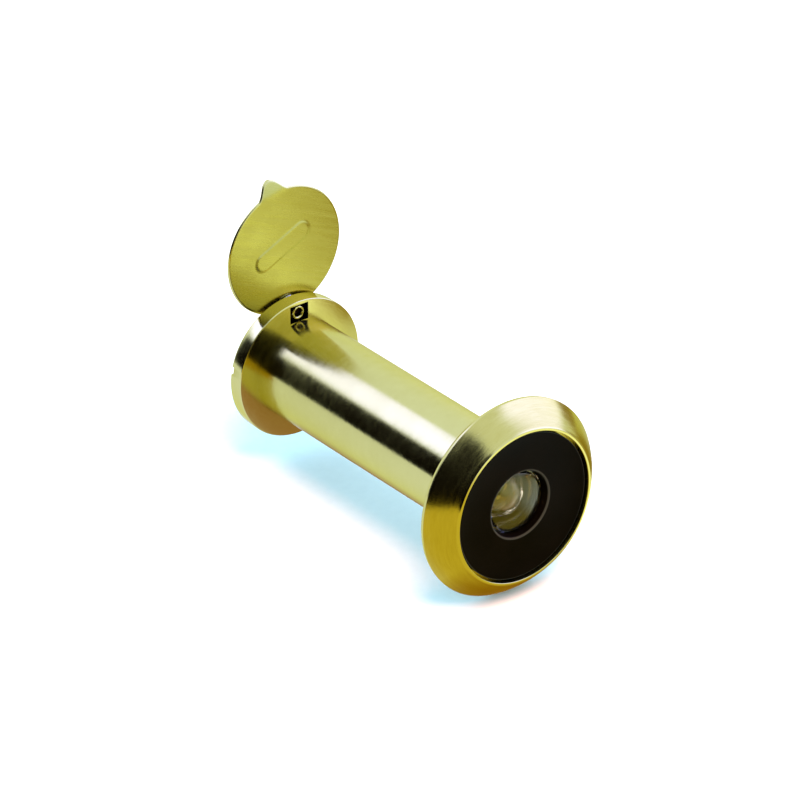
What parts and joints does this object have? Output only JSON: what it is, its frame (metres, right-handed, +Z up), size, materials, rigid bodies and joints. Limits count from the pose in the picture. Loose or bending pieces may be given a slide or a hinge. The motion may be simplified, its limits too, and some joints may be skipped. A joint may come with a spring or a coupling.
{
  "type": "door viewer",
  "caption": "Brass door viewer: wide-angle lens in a round bezel, threaded barrel that clamps the door, and a swinging cover over the eyepiece.",
  "frame": {"origin": "on the barrel's axis, in the face of the rear flange that lies against the door", "axes": "+Y points indoors along the barrel's axis and -Y outdoors, where the bezel looks; +Z is up, towards the cover's rivet; +X is to the right as seen from outdoors"},
  "size_m": [0.028, 0.0515, 0.0415],
  "materials": {
    "turned_brass": "fine turned satin, greenish gold",
    "sheet_brass": "brushed satin sheet",
    "spring_steel": "plain bright",
    "black_plastic": "satin black",
    "lens_glass": "clear polished glass",
    "gasket_rubber": "matte black"
  },
  "bodies": {
    "sleeve": {"rear_sleeve": "turned_brass", "eyepiece_gasket": "gasket_rubber", "eyepiece_lens": "lens_glass", "eyepiece_retaining_ring": "turned_brass", "cover_rivet": "turned_brass", "cover_spring_washer": "spring_steel"},
    "cover": {"cover": "sheet_brass"},
    "lens_stack": {"front_spacer": "black_plastic", "second_lens": "lens_glass", "middle_spacer": "black_plastic", "third_lens": "lens_glass", "field_stop": "black_plastic"},
    "bezel": {"front_body": "turned_brass", "black_dish": "black_plastic", "objective_lens": "lens_glass", "objective_gasket": "gasket_rubber"}
  },
  "joints": [
    {"name": "cover_swing", "type": "hinge", "parent": "sleeve", "child": "cover", "pos_m": [0, 0.0026, 0.00825], "axis": [0, 1, 0], "range_deg": [-177.5, 182.5]},
    {"name": "bezel_advance", "type": "slide", "parent": "sleeve", "child": "lens_stack", "axis": [0, -1, 0], "range_m": [0, 0.015]},
    {"name": "bezel_turn", "type": "hinge", "parent": "lens_stack", "child": "bezel", "pos_m": [0, -0.0435, 0], "axis": [0, -1, 0], "range_deg": [0, 3600]}
  ],
  "couplings": [
    {"joint": "bezel_advance", "follows": "bezel_turn", "m_per_rad": 0.00023873}
  ]
}
